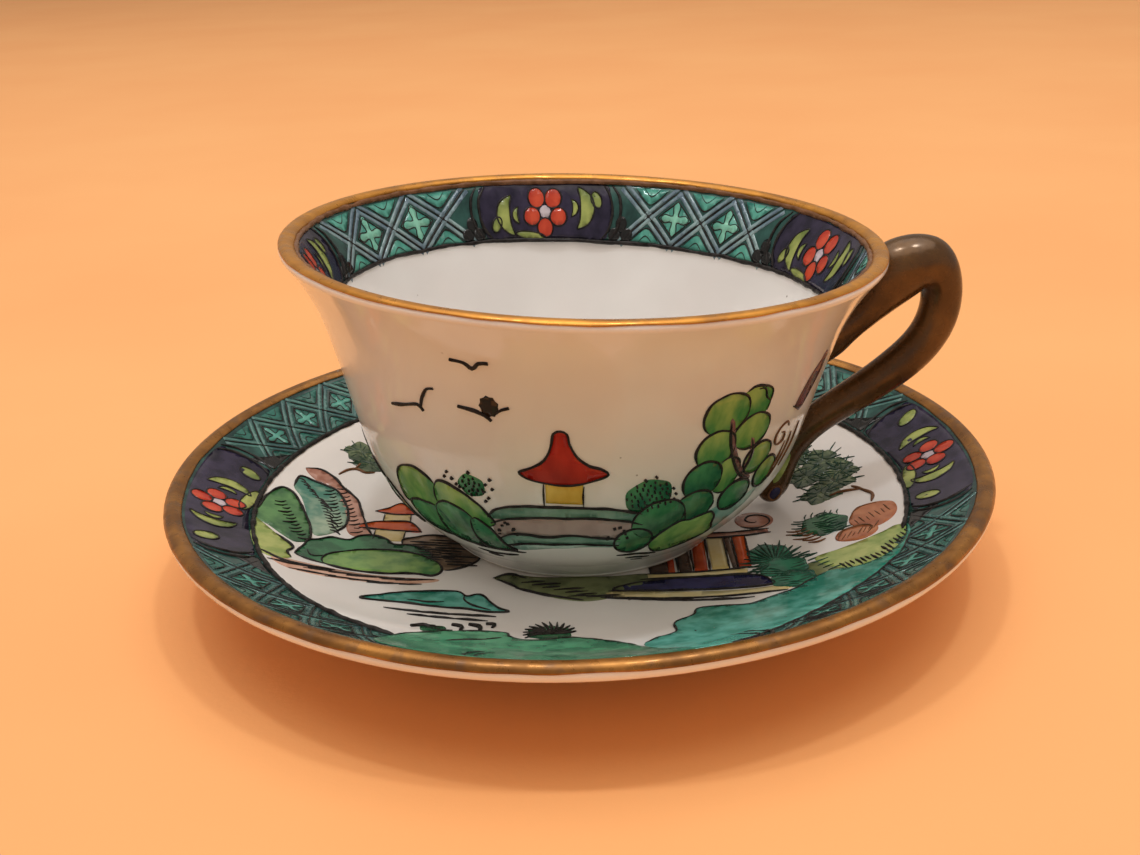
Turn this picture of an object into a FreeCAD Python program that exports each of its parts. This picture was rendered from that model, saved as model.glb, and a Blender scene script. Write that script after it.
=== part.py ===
import FreeCAD, Part
import math
import os

# Driving dimensions, in millimetres and degrees.
# Saucer
saucer_radius = 33.4          # outside of the rim
saucer_well_margin = 2.0      # flat floor of the well, all round the cup's foot ring
saucer_well_depth = 5.8       # from the rim down to the well floor
saucer_wall = 1.3
saucer_foot_radius = 18.4     # outside of the foot ring
saucer_foot_width = 1.5
saucer_foot_height = 1.8      # from the table up to the underside of the well
# Cup bowl, with its heights measured from the underside of its foot ring
cup_height = 24.3
cup_lip_radius = 23.9         # outside of the lip, before its edges are rounded
lip_overhang = 1.9            # how far the lip stands out past the line of the straight wall
flare_depth = 6.9             # from the lip down to where the wall begins to flare
cup_wall = 1.1
cup_floor_height = 2.4        # inside floor
cup_foot_radius = 11.4        # outside of the foot ring, at its underside
cup_foot_width = 1.5
cup_foot_height = 1.7         # up to the crease where the belly begins
cup_foot_flare = 1.3          # how much wider the foot ring is at the crease
belly_height = 9.2            # where the belly becomes the straight wall
wall_slope = 15.6             # of the straight wall, from the vertical
inner_belly_round = 9.5       # fillet between the inside floor and the wall
# The bowl slumped in the kiln: above the belly it leans towards the handle
bowl_lean = 3.1
lean_pivot_height = 9.0
cup_seat_gap = 0.05           # between the foot ring and the saucer's well
cup_offset = 0.3              # how far the cup stands off the saucer's centre, towards +X
# Handle
handle_turn = 2.0             # how far behind the +X axis the handle stands
handle_thickness = 3.2        # of the back of the loop
tail_gap = 0.3                # between the tip of the tail and the saucer
# Edges
foot_edge_round = 0.3
lip_edge_round = 0.45

# Values that follow from the driving dimensions
slope = math.radians(wall_slope)
saucer_floor_height = saucer_foot_height + saucer_wall
saucer_well_radius = cup_foot_radius + saucer_well_margin
cup_foot_top_radius = cup_foot_radius + cup_foot_flare
flare_height = cup_height - flare_depth
belly_radius = cup_lip_radius - lip_overhang - (cup_height - belly_height) * math.tan(slope)
Z_AXIS = FreeCAD.Vector(0, 0, 1)
ORIGIN = FreeCAD.Vector(0, 0, 0)


# ---------------------------------------------------------------- profiles
def at(point):
    """The place in the XZ plane of a (radius, height) point."""
    return FreeCAD.Vector(point[0], 0, point[1])


def line(start, end):
    return Part.LineSegment(at(start), at(end)).toShape()


def polar(centre, radius, angle):
    """The (radius, height) point at an angle in degrees, anticlockwise from +X towards +Z."""
    turn = math.radians(angle)
    return (centre[0] + radius * math.cos(turn), centre[1] + radius * math.sin(turn))


def arc(centre, radius, start_angle, end_angle):
    """An arc through its start, its middle and its end."""
    angles = (start_angle, (start_angle + end_angle) / 2, end_angle)
    return Part.Arc(*[at(polar(centre, radius, angle)) for angle in angles]).toShape()


def revolve(edges):
    """A solid of revolution about Z from the edges of a closed profile, in order."""
    return Part.Face(Part.Wire(edges)).revolve(ORIGIN, Z_AXIS, 360)


def foot_ring(outer, width, height, flare):
    """A turned foot ring that stands at height 0, with its two bottom edges rounded."""
    inner = outer - width
    round_ = foot_edge_round
    return revolve([
        line((inner + round_, 0), (outer - round_, 0)),
        arc((outer - round_, round_), round_, -90, 0),
        line((outer, round_), (outer + flare, height)),
        line((outer + flare, height), (inner - flare / 2, height)),
        line((inner - flare / 2, height), (inner, round_)),
        arc((inner + round_, round_), round_, 180, 270),
    ])


# ---------------------------------------------------------------- saucer
half_wall = saucer_wall / 2
border_run = saucer_radius - half_wall - saucer_well_radius
border_radius = (border_run ** 2 + saucer_well_depth ** 2) / (2 * saucer_well_depth)
border_centre = (saucer_well_radius, saucer_floor_height - half_wall + border_radius)
rim_angle = -90 + 2 * math.degrees(math.atan2(saucer_well_depth, border_run))


def border_height(radius, offset):
    """Height of the dished border at a radius, offset outwards from the middle of its wall."""
    past_well = max(radius - saucer_well_radius, 0)
    return border_centre[1] - math.sqrt((border_radius + offset) ** 2 - past_well ** 2)


def saucer():
    """A dished saucer in one piece: flat well, border on one arc, rounded rim and foot ring."""
    dish = revolve([
        line((0, saucer_foot_height), (0, saucer_floor_height)),
        line((0, saucer_floor_height), (saucer_well_radius, saucer_floor_height)),
        arc(border_centre, border_radius - half_wall, -90, rim_angle),
        arc(polar(border_centre, border_radius, rim_angle), half_wall, rim_angle + 180, rim_angle),
        arc(border_centre, border_radius + half_wall, rim_angle, -90),
        line((saucer_well_radius, saucer_foot_height), (0, saucer_foot_height)),
    ])
    # The ring runs up into the middle of the dish's wall, so that the two make one body
    ring_top = border_height(saucer_foot_radius, 0)
    ring = foot_ring(saucer_foot_radius, saucer_foot_width, ring_top, 0)
    return dish.fuse(ring).removeSplitter()


# ---------------------------------------------------------------- cup bowl
def tangent_arc(start, normal, through):
    """Centre and radius of the arc that leaves start across a unit normal and passes another point."""
    gap = (start[0] - through[0], start[1] - through[1])
    toward = normal[0] * gap[0] + normal[1] * gap[1]
    radius = (gap[0] ** 2 + gap[1] ** 2) / (2 * toward)
    return (start[0] - radius * normal[0], start[1] - radius * normal[1]), radius


outward = (math.cos(slope), -math.sin(slope))
flare_radius = belly_radius + (flare_height - belly_height) * math.tan(slope)
belly_centre, belly_arc = tangent_arc((belly_radius, belly_height), outward,
                                      (cup_foot_top_radius, cup_foot_height))
flare_centre, flare_arc = tangent_arc((flare_radius, flare_height), (-outward[0], -outward[1]),
                                      (cup_lip_radius, cup_height))


def wall_line(height):
    """Outside radius of the straight wall, continued above and below it."""
    return belly_radius + (height - belly_height) * math.tan(slope)


def outer_radius(height):
    if height < belly_height:
        return belly_centre[0] + math.sqrt(belly_arc ** 2 - (belly_centre[1] - height) ** 2)
    if height < flare_height:
        return wall_line(height)
    return flare_centre[0] - math.sqrt(flare_arc ** 2 - (height - flare_centre[1]) ** 2)


def inner_radius(height):
    """The inside runs one wall thickness from the outside, down to its own rounded belly."""
    wall_offset = cup_wall / math.cos(slope)
    round_height = cup_floor_height + inner_belly_round
    round_centre = wall_line(round_height) - wall_offset - inner_belly_round / math.cos(slope)
    round_top = round_height - inner_belly_round * math.sin(slope)
    flare_start = flare_height + cup_wall * math.sin(slope)
    if height < round_top:
        return round_centre + math.sqrt(inner_belly_round ** 2 - (round_height - height) ** 2)
    if height < flare_start:
        return wall_line(height) - wall_offset
    return flare_centre[0] - math.sqrt((flare_arc + cup_wall) ** 2 - (height - flare_centre[1]) ** 2)


def leaning(radius, height):
    """The circle of the bowl at this height, tilted by its share of the lean."""
    share = min(max((height - cup_foot_height) / (belly_height - cup_foot_height), 0), 1)
    tilt = math.radians(bowl_lean) * share ** 2 * (3 - 2 * share)
    axis = FreeCAD.Vector(math.sin(tilt), 0, math.cos(tilt))
    centre = FreeCAD.Vector(0, 0, lean_pivot_height) + axis * (height - lean_pivot_height)
    return Part.Wire([Part.Circle(centre, axis, radius).toShape()])


def arc_heights(centre_height, radius, low, high, steps):
    """Heights on an arc, spaced evenly round it, from low to just under high."""
    start = math.acos((centre_height - low) / radius)
    end = math.acos((centre_height - high) / radius)
    return [centre_height - radius * math.cos(start + (end - start) * step / steps) for step in range(steps)]


def wall_heights():
    """Heights up the straight wall and the flare to the lip, shared by the inside and the outside."""
    middle = (belly_height + flare_height) / 2
    return [middle] + [flare_height + (cup_height - flare_height) * step / 5 for step in range(6)]


def bowl_outside():
    """The bowl as a solid body, from the crease above its foot ring to its lip."""
    heights = arc_heights(belly_centre[1], belly_arc, cup_foot_height, belly_height, 6) + [belly_height]
    heights += wall_heights()
    return Part.makeLoft([leaning(outer_radius(height), height) for height in heights], True, False)


def bowl_hollow():
    round_height = cup_floor_height + inner_belly_round
    round_top = round_height - inner_belly_round * math.sin(slope)
    heights = arc_heights(round_height, inner_belly_round, cup_floor_height, round_top, 8) + [round_top]
    heights += wall_heights()
    return Part.makeLoft([leaning(inner_radius(height), height) for height in heights], True, False)


def lip_edges(shape):
    """The two circles around the flat top of the lip."""
    top = leaning(cup_lip_radius, cup_height).Edges[0].CenterOfMass
    near_top = [edge for edge in shape.Edges if (edge.CenterOfMass - top).Length < cup_wall / 2]
    return [edge for edge in near_top if edge.Closed]


def cup_bowl():
    """The bowl: thrown body, hollow inside, with a rounded lip and a turned foot ring."""
    body = bowl_outside().cut(bowl_hollow())
    body = body.makeFillet(lip_edge_round, lip_edges(body))
    ring = foot_ring(cup_foot_radius, cup_foot_width, cup_foot_height, cup_foot_flare)
    return body.fuse(ring)


# ---------------------------------------------------------------- handle
# Stations from the upper joint round the loop and down the tail: how far the middle of the
# rod stands out from the line of the straight wall, its height as a share of the cup's
# height, and its thickness as a share of the handle's.
HANDLE_STATIONS = [
    (-0.9, 0.615, 1.10),
    (0.5, 0.680, 1.15),
    (2.8, 0.815, 1.28),
    (4.8, 0.912, 1.44),
    (7.0, 0.885, 1.18),
    (8.1, 0.810, 1.02),
    (8.5, 0.715, 1.00),
    (7.9, 0.620, 0.98),
    (6.5, 0.540, 0.95),
    (4.4, 0.455, 0.88),
    (2.3, 0.375, 0.82),
    (1.0, 0.290, 0.76),
    (0.6, 0.215, 0.74),
    (0.6, 0.150, 0.76),
]
# The tip of the tail stands this far out, with this share of the handle's thickness
TAIL_TIP = (0.8, 0.68)


def handle_circle(points, index, thickness):
    """A round section of the rod, square to its run between the stations on either side."""
    before = points[max(index - 1, 0)]
    after = points[min(index + 1, len(points) - 1)]
    return Part.Wire([Part.Circle(points[index], after - before, thickness / 2).toShape()])


def tip_height(radius, tip_radius):
    """Height of the tail's tip, clear of the saucer once the bowl leans."""
    saucer_top = border_height(radius + cup_offset, -half_wall) - saucer_floor_height - cup_seat_gap
    return saucer_top + tail_gap + tip_radius + radius * math.sin(math.radians(bowl_lean))


def cup_handle():
    """A rod bent into an ear-shaped loop with a tail, cut to lie against the bowl."""
    points = []
    for stand_out, height_share, _ in HANDLE_STATIONS:
        height = height_share * cup_height
        points.append(FreeCAD.Vector(wall_line(height) + stand_out, 0, height))
    thicknesses = [handle_thickness * station[2] for station in HANDLE_STATIONS]
    tip_radius = handle_thickness * TAIL_TIP[1] / 2
    tip_reach = wall_line(tip_radius) + TAIL_TIP[0]
    points.append(FreeCAD.Vector(tip_reach, 0, tip_height(tip_reach, tip_radius)))
    thicknesses.append(2 * tip_radius)
    sections = [handle_circle(points, index, thicknesses[index]) for index in range(len(points))]
    rod = Part.makeLoft(sections, True, False).fuse(Part.makeSphere(tip_radius, points[-1]))
    rod.rotate(ORIGIN, Z_AXIS, handle_turn)
    rod.rotate(FreeCAD.Vector(0, 0, lean_pivot_height), FreeCAD.Vector(0, 1, 0), bowl_lean)
    luted = rod.cut(bowl_outside())
    return max(luted.Solids, key=lambda solid: solid.Volume)


# ---------------------------------------------------------------- output
def write(name, shape, place):
    placed = shape.copy()
    placed.translate(place)
    placed.exportStep("parts/" + name + ".step")
    box = placed.BoundBox
    print(name, len(placed.Solids), "solid, valid", placed.isValid(), "volume", round(placed.Volume, 1),
          "box", [round(value, 2) for value in (box.XMin, box.YMin, box.ZMin, box.XMax, box.YMax, box.ZMax)])


os.makedirs("parts", exist_ok=True)
cup_place = FreeCAD.Vector(cup_offset, 0, saucer_floor_height + cup_seat_gap)
write("saucer", saucer(), ORIGIN)
write("cup_bowl", cup_bowl(), cup_place)
write("cup_handle", cup_handle(), cup_place)
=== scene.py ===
import math
import bmesh
import bpy
from mathutils import Matrix, Quaternion, Vector, noise
from mathutils.bvhtree import BVHTree


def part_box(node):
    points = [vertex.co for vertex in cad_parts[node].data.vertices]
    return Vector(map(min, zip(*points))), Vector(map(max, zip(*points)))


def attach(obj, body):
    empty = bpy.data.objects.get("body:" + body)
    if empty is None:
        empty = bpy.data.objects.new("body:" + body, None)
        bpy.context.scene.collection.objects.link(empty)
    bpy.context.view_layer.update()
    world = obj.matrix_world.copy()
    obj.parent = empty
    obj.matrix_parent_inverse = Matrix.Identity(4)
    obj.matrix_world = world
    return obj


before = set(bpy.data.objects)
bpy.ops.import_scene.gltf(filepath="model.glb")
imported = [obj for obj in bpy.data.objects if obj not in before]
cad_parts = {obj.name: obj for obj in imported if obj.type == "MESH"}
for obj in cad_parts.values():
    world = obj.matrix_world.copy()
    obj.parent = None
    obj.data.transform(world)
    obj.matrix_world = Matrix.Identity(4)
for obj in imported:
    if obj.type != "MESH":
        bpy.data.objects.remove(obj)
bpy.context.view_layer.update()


# ---------------------------------------------------------------- saucer body
# A thrown and trimmed porcelain saucer with a foot ring, dipped in clear glaze
# and fired; the glaze is wiped off the foot, which stays bare biscuit clay.

mm = 0.001
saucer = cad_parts["saucer"]
saucer_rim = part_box("saucer")[1].x / mm
saucer_bare_below = 0.22


def add(tree, kind, inputs, **settings):
    """A shader node with its settings, and its inputs as values or as the sockets that feed them."""
    node = tree.nodes.new(kind)
    for key, value in settings.items():
        setattr(node, key, value)
    for key, value in inputs.items():
        if isinstance(value, bpy.types.NodeSocket):
            tree.links.new(value, node.inputs[key])
        else:
            node.inputs[key].default_value = value
    return node


def new_finish(name):
    finish = bpy.data.materials.new(name)
    finish.use_nodes = True
    tree = finish.node_tree
    place = add(tree, "ShaderNodeTexCoord", {}).outputs["Object"]
    return finish, tree, tree.nodes["Principled BSDF"], place


def cloudy(tree, place, size, detail=2.0, low=0.35, high=0.65):
    """Soft patches from 0 to 1, of about the given size in millimetres."""
    clouds = add(tree, "ShaderNodeTexNoise", {"Vector": place, "Scale": 1 / (size * mm), "Detail": detail})
    spread = add(tree, "ShaderNodeMapRange", {"Value": clouds.outputs[0], "From Min": low, "From Max": high})
    return spread.outputs[0]


def between(tree, share, first, second):
    if not isinstance(first, bpy.types.NodeSocket):
        first = (*first, 1)
    if not isinstance(second, bpy.types.NodeSocket):
        second = (*second, 1)
    return add(tree, "ShaderNodeMix", {0: share, 6: first, 7: second}, data_type="RGBA").outputs[2]


def ranged(tree, value, low, high, bottom, top):
    inputs = {"Value": value, "From Min": low, "From Max": high, "To Min": bottom, "To Max": top}
    return add(tree, "ShaderNodeMapRange", inputs).outputs[0]


def waviness(tree, place, shader, size, height):
    """Low waves in the surface, their size and height in millimetres."""
    waves = add(tree, "ShaderNodeTexNoise", {"Vector": place, "Scale": 1 / (size * mm), "Detail": 2.0})
    bump = add(tree, "ShaderNodeBump", {"Strength": 1.0, "Distance": height * mm, "Height": waves.outputs[0]})
    tree.links.new(bump.outputs[0], shader.inputs["Normal"])


def glazed_porcelain(name, bare_below):
    """White glazed porcelain with a faint grey cast, iron specks, and a bare foot below a height."""
    finish, tree, shader, place = new_finish(name)
    white = between(tree, cloudy(tree, place, 9), (0.84, 0.80, 0.77), (0.90, 0.87, 0.84))
    specks = add(tree, "ShaderNodeTexVoronoi", {"Vector": place, "Scale": 1 / (2.6 * mm)})
    rare = cloudy(tree, place, 5, 0.0, 0.60, 0.64)
    speck = ranged(tree, specks.outputs["Distance"], 0.03, 0.05, 0.75, 0.0)
    rare_speck = add(tree, "ShaderNodeMath", {0: speck, 1: rare}, operation="MULTIPLY").outputs[0]
    glaze = between(tree, rare_speck, white, (0.16, 0.10, 0.06))
    height = add(tree, "ShaderNodeSeparateXYZ", {0: place}).outputs["Z"]
    uneven = ranged(tree, cloudy(tree, place, 1.5), 0, 1, -0.05 * mm, 0.05 * mm)
    edge = add(tree, "ShaderNodeMath", {0: height, 1: uneven}, operation="ADD").outputs[0]
    glazed = ranged(tree, edge, (bare_below - 0.04) * mm, (bare_below + 0.04) * mm, 0, 1)
    clay = between(tree, cloudy(tree, place, 0.5, 4), (0.62, 0.55, 0.46), (0.74, 0.69, 0.60))
    tree.links.new(between(tree, glazed, clay, glaze), shader.inputs["Base Color"])
    sheen = ranged(tree, cloudy(tree, place, 4), 0, 1, 0.07, 0.13)
    rough = add(tree, "ShaderNodeMix", {0: glazed, 2: 0.8, 3: sheen}).outputs[0]
    tree.links.new(rough, shader.inputs["Roughness"])
    shader.inputs["IOR"].default_value = 1.52
    waviness(tree, place, shader, 5, 0.03)
    return finish


def refinish(node, finish):
    for material_slot in node.material_slots:
        material_slot.material = finish


refinish(saucer, glazed_porcelain("glazed porcelain, saucer", saucer_bare_below))


# ---------------------------------------------------------------- saucer border
# A band of overglaze enamel painted round the upper side, inside the gilt edge, and
# fired on: a trellis with turquoise leaf crosses, broken by four dark aubergine
# panels with a red flower in each.

outline_step = 0.25
grid_step = 0.8
ground_lift = 0.03
wash_lift = 0.04
second_lift = 0.055
third_lift = second_lift + 0.012
top_lift = second_lift + 0.03
skin = 0.07
pen_lift = 0.045
pen_width = 0.14
pen_weight = 0.92
border_inner = 26.9
border_outer = 32.5
border_gilt_edge = 31.75
border_radius = 30.0
above_saucer = 20
scatter_turn = 2.4
trellis_pitch = 5.3
strap_offset = 0.27
strap_width = 0.30
shortest_strap = 0.6
cell_share = 0.62
panel_half = 9.3
panel_gap = 0.7
panel_angles = (2.0, 95.0, 187.6, 275.0)


def glaze_surface(node):
    mesh = node.data
    return BVHTree.FromPolygons([v.co for v in mesh.vertices], [p.vertices for p in mesh.polygons])


def on_glaze(surface, start, ray):
    """Where a straight line meets the glaze, and the way back out; the start is in millimetres."""
    hit = surface.ray_cast(Vector(start) * mm, Vector(ray))[0]
    if hit is None:
        raise ValueError(f"nothing to paint on from {tuple(start)}")
    return hit, -Vector(ray)


saucer_surface = glaze_surface(saucer)


def saucer_top(x, y):
    return on_glaze(saucer_surface, (x, y, above_saucer), (0, 0, -1))


def saucer_border(along, radius):
    """along is millimetres round the border from +X, anticlockwise from above."""
    angle = along / border_radius
    return saucer_top(radius * math.cos(angle), radius * math.sin(angle))


def drawn(points, closed=False):
    """A smooth line through a few points, as points a short step apart."""
    knots = [Vector(p) for p in points]
    count = len(knots)
    line = []
    for i in range(count if closed else count - 1):
        if closed:
            before, start, end, after = (knots[(i + k) % count] for k in (-1, 0, 1, 2))
        else:
            before, start, end, after = (knots[min(max(i + k, 0), count - 1)] for k in (-1, 0, 1, 2))
        steps = max(1, round((end - start).length / outline_step))
        for k in range(steps):
            t = k / steps
            bend = (end - before) * t
            bend += (2 * before - 5 * start + 4 * end - after) * t * t
            bend += (3 * start - before - 3 * end + after) * t ** 3
            line.append(start + 0.5 * bend)
    if not closed:
        line.append(knots[-1])
    return line


def new_piece(name, data, finish, body):
    piece = bpy.data.objects.new(name, data)
    bpy.context.scene.collection.objects.link(piece)
    data.materials.append(finish)
    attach(piece, body)
    return piece


def thin_skin(name, painting, finish, body, first_out):
    """Turns laid enamel face out, gives it its thickness, down into the glaze, and makes it a piece."""
    painting.verts.ensure_lookup_table()
    painting.normal_update()
    if painting.verts[0].link_faces[0].normal.dot(first_out) < 0:
        bmesh.ops.reverse_faces(painting, faces=painting.faces[:])
    bmesh.ops.solidify(painting, geom=painting.faces[:], thickness=skin * mm)
    bmesh.ops.recalc_face_normals(painting, faces=painting.faces)
    for face in painting.faces:
        face.smooth = True
    mesh = bpy.data.meshes.new(name)
    painting.to_mesh(mesh)
    painting.free()
    return new_piece(name, mesh, finish, body)


def painted(name, body, chart, finish, outlines, lift=wash_lift, lit=(0.5, 0.8), step=grid_step):
    """One piece of thin enamel patches of one colour. lit is where a patch is thinnest, across and up it."""
    painting = bmesh.new()
    patch_number = painting.verts.layers.float.new("patch")
    strength = painting.verts.layers.float.new("strength")
    boxes = []
    for number, outline in enumerate(outlines):
        corners = []
        for point in drawn(outline, closed=True):
            corner = painting.verts.new((point.x, point.y, 0))
            corner[patch_number] = number
            corners.append(corner)
        patch = painting.faces.new(corners)
        patch.normal_update()
        if patch.normal.z < 0:
            patch.normal_flip()
        us = [c.co.x for c in corners]
        vs = [c.co.y for c in corners]
        boxes.append((min(us), max(us), min(vs), max(vs)))
    bmesh.ops.triangulate(painting, faces=painting.faces[:])
    for axis in (0, 1):
        low = min(b[2 * axis] for b in boxes)
        high = max(b[2 * axis + 1] for b in boxes)
        cut = math.floor(low / step) * step
        across = Vector((1 - axis, axis, 0))
        while cut < high:
            everything = painting.verts[:] + painting.edges[:] + painting.faces[:]
            bmesh.ops.bisect_plane(painting, geom=everything, plane_co=across * cut, plane_no=across)
            cut += step
    outs = []
    for corner in painting.verts:
        number = round(corner[patch_number])
        left, right, bottom, top = boxes[number]
        middle = Vector((left + (right - left) * lit[0], bottom + (top - bottom) * lit[1]))
        reach = 0.75 * max(right - left, top - bottom)
        corner[strength] = min((corner.co.xy - middle).length / reach, 1.0)
        point, out = chart(corner.co.x, corner.co.y)
        outs.append(out)
        corner.co = point + out * (lift + 0.003 * (number % 4)) * mm
    painting.verts.layers.float.remove(patch_number)
    return thin_skin(name, painting, finish, body, outs[0])


def banded(name, body, chart, finish, length, edges, lift, rows=8, step=0.9):
    """A band right round a chart. edges(along) gives its two sides at each place along it."""
    painting = bmesh.new()
    strength = painting.verts.layers.float.new("strength")
    columns = round(length / step)
    bmesh.ops.create_grid(painting, x_segments=columns, y_segments=rows, size=0.5)
    outs = []
    for corner in painting.verts:
        along = (corner.co.x + 0.5) * length
        first, last = edges(along)
        share = corner.co.y + 0.5
        corner[strength] = share
        point, out = chart(along, first + (last - first) * share)
        outs.append(out)
        corner.co = point + out * lift * mm
    bmesh.ops.remove_doubles(painting, verts=painting.verts, dist=0.01 * mm)
    return thin_skin(name, painting, finish, body, outs[0])


# without a seed this noise starts from the clock, and the lines would waver otherwise each run
noise.seed_set(7)


def penned(name, body, chart, finish, strokes, loops=(), width=pen_width, taper=0.35):
    """One piece of pen and brush lines, proud of the enamel, uneven as a hand draws them."""
    lines = bpy.data.curves.new(name, "CURVE")
    lines.dimensions = "3D"
    lines.bevel_depth = width * pen_weight * mm
    lines.bevel_resolution = 1
    lines.use_fill_caps = True
    drawings = [(drawn(s), False) for s in strokes] + [(drawn(s, True), True) for s in loops]
    for number, (line, closed) in enumerate(drawings):
        spline = lines.splines.new("POLY")
        spline.points.add(len(line) - 1)
        spline.use_cyclic_u = closed
        for i, at in enumerate(line):
            sway = noise.noise_vector(Vector((at.x * 0.9, at.y * 0.9, number * 3.7)))
            point, out = chart(at.x + 0.05 * sway.x, at.y + 0.05 * sway.y)
            spline.points[i].co = (*(point + out * pen_lift * mm), 1)
            end = min(i, len(line) - 1 - i) / 4
            near_end = 1 if closed else min(taper + (1 - taper) * end, 1)
            spline.points[i].radius = near_end * (1 + 0.45 * sway.z)
    return new_piece(name, lines, finish, body)


def inside(point, outline):
    """Whether a point lies within a closed outline."""
    crossings = 0
    for (ax, ay), (bx, by) in zip(outline, outline[1:] + outline[:1]):
        if (ay > point[1]) != (by > point[1]) and point[0] < (bx - ax) * (point[1] - ay) / (by - ay) + ax:
            crossings += 1
    return crossings % 2 == 1


def showing(outlines, covers=()):
    """The parts of the outlines, back to front, that no later outline or cover paints over."""
    loops = [[tuple(p) for p in drawn(o, closed=True)] for o in outlines]
    on_top = [[tuple(p) for p in drawn(o, closed=True)] for o in covers]
    strokes = []
    for number, loop in enumerate(loops):
        run = []
        for point in loop + loop[:1]:
            if any(inside(point, o) for o in loops[number + 1:] + on_top):
                if len(run) > 2:
                    strokes.append(run[::2] + run[-1:])
                run = []
            else:
                run.append(point)
        if len(run) > 2:
            strokes.append(run[::2] + run[-1:])
    return strokes


def enamel(name, thin, full, patchy=0.35, rough=0.13, relief=0.012):
    """Translucent overglaze enamel, from a thin wash to full strength, glossy and slightly pooled."""
    finish, tree, shader, place = new_finish(name)
    strength = add(tree, "ShaderNodeAttribute", {}, attribute_name="strength").outputs["Fac"]
    brushed = add(tree, "ShaderNodeMapping", {"Vector": place, "Scale": (1, 1, 0.5)}).outputs[0]
    clouds = ranged(tree, cloudy(tree, brushed, 1.4, 3), 0, 1, -patchy, patchy)
    amount = add(tree, "ShaderNodeMath", {0: strength, 1: clouds}, operation="ADD", use_clamp=True).outputs[0]
    tree.links.new(between(tree, amount, thin, full), shader.inputs["Base Color"])
    gloss = ranged(tree, cloudy(tree, place, 1.1), 0, 1, rough * 0.7, rough * 1.6)
    tree.links.new(gloss, shader.inputs["Roughness"])
    shader.inputs["IOR"].default_value = 1.42
    waviness(tree, place, shader, 0.8, relief)
    return finish


def pen_ink(name, colour, rough=0.25):
    finish, tree, shader, place = new_finish(name)
    lighter = tuple(c * 1.6 + 0.015 for c in colour)
    tree.links.new(between(tree, cloudy(tree, place, 0.8, 3), colour, lighter), shader.inputs["Base Color"])
    gloss = ranged(tree, cloudy(tree, place, 0.5), 0, 1, rough * 0.7, rough * 1.4)
    tree.links.new(gloss, shader.inputs["Roughness"])
    shader.inputs["IOR"].default_value = 1.22
    waviness(tree, place, shader, 0.3, 0.01)
    return finish


def oval(centre, across, up=None, turn=0.0, points=8, ripple=0.0):
    """A closed outline: an ellipse, or with a ripple a lobed one."""
    up = across if up is None else up
    outline = []
    for k in range(points):
        angle = 2 * math.pi * k / points
        size = 1 + (ripple if k % 2 else -ripple)
        at = Matrix.Rotation(math.radians(turn), 2) @ Vector((across * size * math.cos(angle),
                                                              up * size * math.sin(angle)))
        outline.append((centre[0] + at.x, centre[1] + at.y))
    return outline


def hatch(start, end, count, stroke, curl=0.0):
    """Short strokes side by side from start to end, all running the way of stroke, no two as long."""
    strokes = []
    for k in range(count):
        share = k / max(count - 1, 1)
        x = start[0] + (end[0] - start[0]) * share
        y = start[1] + (end[1] - start[1]) * share
        length = 1 + 0.3 * math.sin(k * scatter_turn)
        middle = (x + stroke[0] * 0.5 * length - curl * stroke[1],
                  y + stroke[1] * 0.5 * length + curl * stroke[0])
        strokes.append([(x, y), middle, (x + stroke[0] * length, y + stroke[1] * length)])
    return strokes


pen_line = pen_ink("black pen line", (0.014, 0.011, 0.010))
border_dark = enamel("border dark green", (0.03, 0.10, 0.085), (0.010, 0.035, 0.032), 0.5)
turquoise_ground = enamel("dark turquoise ground", (0.035, 0.15, 0.12), (0.012, 0.055, 0.045), 0.5)
strap_green = enamel("strap green", (0.10, 0.23, 0.20), (0.045, 0.11, 0.11), 0.4)
leaf_turquoise = enamel("leaf turquoise", (0.10, 0.34, 0.27), (0.03, 0.15, 0.12), 0.3)
saucer_trellis = (turquoise_ground, strap_green, leaf_turquoise)
panel_blue = enamel("aubergine blue", (0.034, 0.027, 0.058), (0.008, 0.007, 0.020), 0.5)
petal_red = enamel("iron red", (0.62, 0.080, 0.035), (0.40, 0.022, 0.010), 0.35)
pale_lilac = enamel("pale lilac", (0.60, 0.52, 0.55), (0.45, 0.36, 0.42), 0.3)
scroll_green = enamel("yellow green", (0.38, 0.42, 0.12), (0.15, 0.20, 0.05), 0.4)
brown_line = pen_ink("brown line", (0.13, 0.055, 0.022))
dark_green_line = pen_ink("dark green line", (0.010, 0.040, 0.024))


def sharp(corners):
    """A straight-sided outline: each corner is held by a point close on either side."""
    outline = []
    for first, second in zip(corners, corners[1:] + corners[:1]):
        start, end = Vector(first), Vector(second)
        outline += [tuple(start), tuple(start.lerp(end, 0.08)), tuple(start.lerp(end, 0.92))]
    return outline


def strip(start, end, width):
    """The outline of a straight strap."""
    run = Vector(end) - Vector(start)
    side = Vector((-run.y, run.x)).normalized() * width / 2
    corners = [Vector(start) - side, Vector(end) - side, Vector(end) + side, Vector(start) + side]
    return sharp([tuple(c) for c in corners])


def cross_leaf(centre, size):
    """Four rounded leaves set crosswise."""
    outline = []
    for arm in range(4):
        way = math.pi / 2 * arm
        for reach, turn in ((0.30, -0.75), (0.85, -0.32), (1.1, 0.0), (0.85, 0.32)):
            outline.append((centre[0] + size * reach * math.cos(way + turn),
                            centre[1] + size * reach * math.sin(way + turn)))
    return outline


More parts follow.
